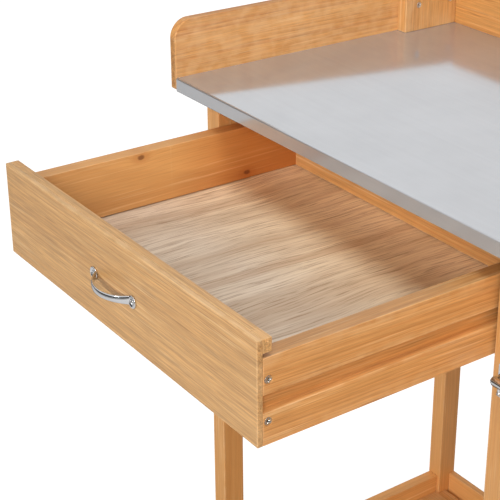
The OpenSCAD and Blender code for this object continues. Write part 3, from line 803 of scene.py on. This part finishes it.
def handle(name, node, run):
    """Bowed strap between two round feet with a screw in each. run is the axis (0 or 2) between them."""
    lo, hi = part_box(node)
    mid = (lo + hi) / 2
    wall = hi.y
    foot_r = (hi[2 - run] - lo[2 - run]) / 2
    centre = (hi[run] - lo[run]) / 2 - foot_r
    half = centre - 4.2 * MM
    rise = wall - lo.y - STRAP / 2
    radius = (half ** 2 + rise ** 2) / (2 * rise)

    def place(along, away, across):
        co = [0.0, wall - away, 0.0]
        co[run], co[2 - run] = mid[run] + along, mid[2 - run] + across
        return co

    bm = bmesh.new()
    places = [-1 + 2 * i / STRAP_RINGS for i in range(STRAP_RINGS + 1)]
    tube(bm, [strap_ring(bm, s, radius, math.asin(half / radius), rise, place) for s in places])
    piece = Piece(name, "chrome", node)
    piece.add(bm, axis=run, inset=False)
    foot = [(0, 0), (foot_r, 0), (foot_r, 0.7 * FOOT), (0.97 * foot_r, 0.86 * FOOT),
            (0.9 * foot_r, 0.97 * FOOT), (0.8 * foot_r, FOOT), (0.66 * foot_r, FOOT),
            (0.50 * foot_r, 0.55 * FOOT), (0, 0.55 * FOOT)]
    for side in (-1, 1):
        origin = Vector(mid)
        origin[run] += side * centre
        origin.y = wall
        piece.add(turned(foot, origin, (0, -1, 0)), axis=run, inset=False)
        bm, recess_shade_tones = screw_head(origin - Vector((0, FOOT, 0)), (0, -1, 0), 0.48 * foot_r,
                               dome=0.5 * MM, sunk=0.4 * MM, spin=20 + 30 * side)
        piece.add(bm, axis=run, inset=False, tone=recess_shade_tones)
    piece.done()


handle("drawer_handle_bow", "drawer_handle", 0)
handle("door_handle_bow", "door_handle", 2)


def fitting(node, slot):
    """A small metal part from its own CAD solid, with its sharp edges broken."""
    bm = bmesh.new()
    bm.from_mesh(NODES[node].data)
    bmesh.ops.remove_doubles(bm, verts=bm.verts, dist=TINY)
    bmesh.ops.dissolve_limit(bm, angle_limit=math.radians(0.5), verts=bm.verts, edges=bm.edges)
    round_edges(bm, 0.25 * MM, angle=40, segments=2)
    piece = Piece(node + "_metal", slot, node)
    piece.add(bm, inset=False)
    piece.done()


for node in CHROME:
    fitting(node, "chrome")
for node in STEEL:
    fitting(node, "steel")


# Surroundings ----------------------------------------------------------------------

# the floor's own brightness for the eye, for matt surfaces, and in one strip of it for glossy ones
FLOOR_SEEN, FLOOR_ROOM, FLOOR_STRIP = 0.97, 0.41, 0.48
STRIP_FRONT, STRIP_REAR = (-2.10, -1.85), (-0.30, -0.60)
FLOOR_GREY = (0.25, 0.25, 0.25, 1)


def faint_clouds(g, scale):
    """A brightness just below 1 that keeps a plain surface from being perfectly even."""
    return g.vary(g.noise(g.node("ShaderNodeTexCoord", "Object"), scale), 0.985, 1.0)


def is_ray(g, kind):
    return g.node("ShaderNodeLightPath", f"Is {kind} Ray")


def floor_material():
    g = Material("floor_white")
    y = g.node("ShaderNodeSeparateXYZ", "Y", i0=g.node("ShaderNodeTexCoord", "Object"))
    strip = g.mul(g.remap(y, *STRIP_FRONT, smooth=True), g.remap(y, *STRIP_REAR, smooth=True))
    light = g.mul(g.mul(strip, FLOOR_STRIP), is_ray(g, "Glossy"))
    light = g.math("MULTIPLY_ADD", is_ray(g, "Diffuse"), FLOOR_ROOM, light)
    light = g.math("MULTIPLY_ADD", is_ray(g, "Camera"), FLOOR_SEEN, light)
    return g.finish(Base_Color=g.scaled(FLOOR_GREY, faint_clouds(g, 3.0)), Roughness=0.9,
                    Emission_Color=WHITE, Emission_Strength=light)


bm = bmesh.new()
bmesh.ops.create_grid(bm, x_segments=8, y_segments=8, size=4.0)
floor = put_object("floor", make_mesh("floor", bm))
floor.data.materials.append(floor_material())


def card(name, points):
    """A white studio card that only glossy surfaces see. It keeps the worktop's reflections short."""
    g = Material(name)
    glow = g.finish(Base_Color=BLACK, Emission_Color=WHITE, Emission_Strength=faint_clouds(g, 2.0))
    mesh = bpy.data.meshes.new(name)
    mesh.from_pydata(points, [], [tuple(range(len(points)))])
    mesh.materials.append(glow)
    obj = put_object(name, mesh)
    obj.visible_camera = obj.visible_diffuse = obj.visible_shadow = obj.visible_transmission = False


# cards just in front of the uprights, the back board and the raised shelf, from a low edge that rises
# to the rear, up to CARD_TOP over the worktop
CARD_GAP, SHELF_GAP, CARD_TOP = 1.5 * MM, 5 * MM, 0.60
CARD_FRONT, CARD_REAR, CARD_BACK = 0.022, 0.060, 0.064
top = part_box("metal_top")[1].z
front_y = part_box("metal_top")[0].y
left_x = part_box("upright_left")[1].x + CARD_GAP
rear_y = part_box("back_board")[0].y - CARD_GAP
for x, name in ((left_x, "card_left"), (-left_x, "card_right")):
    card(name, [(x, front_y, top + CARD_FRONT), (x, rear_y, top + CARD_REAR),
                (x, rear_y, top + CARD_TOP), (x, front_y, top + CARD_TOP)])
shelf_y, shelf_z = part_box("raised_shelf")[0].y - SHELF_GAP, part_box("raised_shelf")[0].z
steps = [(rear_y, top + CARD_BACK), (shelf_y, shelf_z), (shelf_y, top + CARD_TOP)]
for name, (y0, z0), (y1, z1) in zip(("card_back", "card_shelf"), steps, steps[1:]):
    card(name, [(left_x, y0, z0), (-left_x, y0, z0), (-left_x, y1, z1), (left_x, y1, z1)])

# soft room light for matt surfaces, and a white room with a dark skirting for glossy ones
world = bpy.data.worlds.new("world")
SCENE.world = world
world.use_nodes = True
g = Graph(world.node_tree)
height = g.node("ShaderNodeSeparateXYZ", "Z", i0=g.node("ShaderNodeTexCoord", "Generated"))
skirting = g.remap(height, 0.06, 0.18, 0.04, 1.0, smooth=True)
shiny = g.node("ShaderNodeBackground", Strength=skirting)
seen = g.node("ShaderNodeBackground", Color=WHITE)
matt = g.node("ShaderNodeBackground", Color=(1.0, 0.86, 0.74, 1.0), Strength=0.33)
room = g.node("ShaderNodeMixShader", i0=is_ray(g, "Glossy"), i1=seen, i2=shiny)
room = g.node("ShaderNodeMixShader", i0=is_ray(g, "Diffuse"), i1=room, i2=matt)
g.put(g.tree.nodes["World Output"].inputs["Surface"], room)

# the lights and the camera are placed from the drawer's upper left front corner
panel_lo, panel_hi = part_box("drawer_panel")
corner = Vector((panel_lo.x, panel_lo.y, panel_hi.z))
LIT_SPOT = corner + Vector((0.25, 0.15, -0.05))


def area(name, direction, distance, size, power, colour):
    data = bpy.data.lights.new(name, "AREA")
    data.shape, data.size, data.energy, data.color = "DISK", size, power, colour
    obj = put_object(name, data)
    away = Vector(direction).normalized()
    obj.location = LIT_SPOT + away * distance
    obj.rotation_euler = (-away).to_track_quat("-Z", "Y").to_euler()


area("key_front", (3.6, -18.5, 5.2), 3.5, 0.20, 57, (0.95, 1.0, 1.03))
area("fill_right", (1.05, -0.85, 0.60), 3.0, 1.0, 42, (1.0, 0.87, 0.74))
area("top_soft", (0.40, -0.13, 1.0), 2.4, 1.0, 27, (0.93, 1.0, 1.06))

# the lens in mm, the shift, the place and the turn in degrees come from a fit to the object's edges
CAMERA_LENS, CAMERA_SHIFT = 99.657648, (-0.10, -0.06)
CAMERA_PLACE, CAMERA_TURN = (1.36445, -0.59580, 0.59944), (65.30652, -0.46458, 53.64727)
cam_data = bpy.data.cameras.new("camera")
cam_data.sensor_width = 36.0
cam_data.lens = CAMERA_LENS
cam_data.shift_x, cam_data.shift_y = CAMERA_SHIFT
cam = put_object("camera", cam_data)
turn = Euler([math.radians(angle) for angle in CAMERA_TURN])
cam.matrix_world = Matrix.LocRotScale(corner + Vector(CAMERA_PLACE), turn, None)
SCENE.camera = cam
SCENE.view_settings.view_transform = "Standard"
